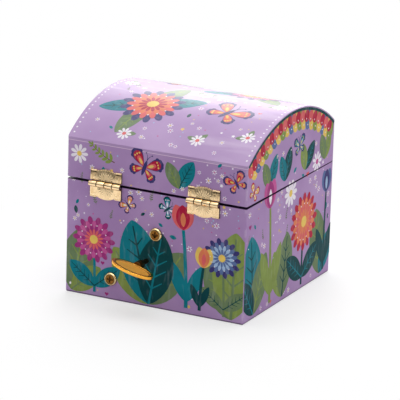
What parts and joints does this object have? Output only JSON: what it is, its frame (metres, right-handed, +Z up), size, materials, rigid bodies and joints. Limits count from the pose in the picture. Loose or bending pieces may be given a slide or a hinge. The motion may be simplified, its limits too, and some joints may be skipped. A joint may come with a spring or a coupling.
{
  "type": "musical jewellery box",
  "caption": "Square jewellery box with a hinged domed lid, brass hinges and winding key at the back, a mirror in the lid, ring rolls and a turning dancer over a wind-up musical movement.",
  "frame": {"origin": "middle of the flat underside, between the outer faces of the case", "axes": "+Z up, -Y to the front of the box, +Y to the hinges and the winding key, +X to the right seen from the front"},
  "size_m": [0.12, 0.1446, 0.1178],
  "materials": {
    "printed_board": "printed paper over board, satin varnish",
    "bottom_board": "plain paper over board",
    "lined_board": "paper-lined board, matt",
    "velvet": "flocked velvet over foam",
    "mirror_silver": "silvered glass",
    "frame_plastic": "moulded plastic, gloss",
    "hinge_brass": "stamped sheet, pale gold plating",
    "key_brass": "golden brass, polished",
    "movement_brass": "machined brass",
    "movement_steel": "bright steel",
    "movement_casting": "die-cast, as cast",
    "dancer_moulding": "moulded and painted",
    "dancer_net": "stiff net"
  },
  "bodies": {
    "base": {"base_back_wall": "printed_board", "base_bottom_panel": "bottom_board", "base_front_wall": "printed_board", "base_left_wall": "printed_board", "base_right_wall": "printed_board", "bedplate": "movement_casting", "comb": "movement_steel", "comb_block": "movement_casting", "comb_screws": "movement_steel", "cup_washers": "hinge_brass", "inner_post": "movement_steel", "left_hinge_base_leaf": "hinge_brass", "left_hinge_pin": "movement_steel", "mainspring": "movement_steel", "middle_post": "movement_steel", "movement_screws": "movement_steel", "music_partition": "lined_board", "outer_post": "movement_steel", "right_hinge_base_leaf": "hinge_brass", "right_hinge_pin": "movement_steel", "ring_roll_1": "velvet", "ring_roll_2": "velvet", "ring_roll_3": "velvet", "ring_shelf": "lined_board", "ring_shelf_riser": "lined_board", "spindle_bracket": "movement_steel", "spring_barrel": "movement_brass", "stage_board": "lined_board", "stage_bush": "movement_brass", "well_lining": "velvet"},
    "lid": {"lid_dome": "printed_board", "lid_front_wall": "printed_board", "lid_back_wall": "printed_board", "lid_left_end": "printed_board", "lid_right_end": "printed_board", "mirror_board": "lined_board", "mirror_frame": "frame_plastic", "mirror_glass": "mirror_silver", "left_hinge_lid_leaf": "hinge_brass", "right_hinge_lid_leaf": "hinge_brass"},
    "great_wheel": {"great_wheel": "movement_brass"},
    "winding_key": {"winding_arbor": "movement_steel", "key_shank": "key_brass", "key_grip": "key_brass"},
    "drum": {"drum": "movement_brass", "drum_arbor": "movement_steel", "drum_pinion": "movement_steel", "drum_wheel": "movement_brass"},
    "governor": {"governor_arbor": "movement_steel", "governor_pinion": "movement_steel", "governor_wheel": "movement_brass"},
    "fan": {"fan_arbor": "movement_steel", "fan_pinion": "movement_steel", "fan_blades": "movement_brass"},
    "dancer": {"dancer_spindle": "movement_steel", "spindle_pinion": "movement_steel", "dancer_disc": "frame_plastic", "dancer_figure": "dancer_moulding", "dancer_tutu": "dancer_net"},
    "stop": {"stop_wire": "movement_steel"}
  },
  "joints": [
    {"name": "lid_hinge", "type": "hinge", "parent": "base", "child": "lid", "pos_m": [0, 0.06195, 0.0716], "axis": [-1, 0, 0], "range_deg": [0, 100]},
    {"name": "play", "type": "hinge", "parent": "base", "child": "great_wheel", "pos_m": [0.005, 0.044, 0.0287], "axis": [0, 1, 0], "continuous": true},
    {"name": "key_wind", "type": "hinge", "parent": "great_wheel", "child": "winding_key", "pos_m": [0.005, 0.044, 0.0287], "axis": [0, -1, 0], "range_deg": [0, 1620]},
    {"name": "drum_spin", "type": "hinge", "parent": "base", "child": "drum", "pos_m": [0.027, 0.03893, 0.0287], "axis": [1, 0, 0], "continuous": true},
    {"name": "governor_spin", "type": "hinge", "parent": "base", "child": "governor", "pos_m": [0.038, 0.03893, 0.0387], "axis": [1, 0, 0], "continuous": true},
    {"name": "fan_spin", "type": "hinge", "parent": "base", "child": "fan", "pos_m": [0.027, 0.03893, 0.0467], "axis": [1, 0, 0], "continuous": true},
    {"name": "dancer_spin", "type": "hinge", "parent": "base", "child": "dancer", "pos_m": [0.005, 0.03893, 0.0575], "axis": [0, 0, 1], "continuous": true},
    {"name": "stop_slide", "type": "slide", "parent": "base", "child": "stop", "axis": [0, 0, 1], "range_m": [0, 0.002]}
  ],
  "couplings": [
    {"joint": "drum_spin", "follows": "play", "ratio": -2.5},
    {"joint": "dancer_spin", "follows": "play", "ratio": -2.5},
    {"joint": "governor_spin", "follows": "play", "ratio": 10},
    {"joint": "fan_spin", "follows": "play", "ratio": -30},
    {"joint": "stop_slide", "follows": "lid_hinge", "m_per_rad": 0.0011448}
  ]
}
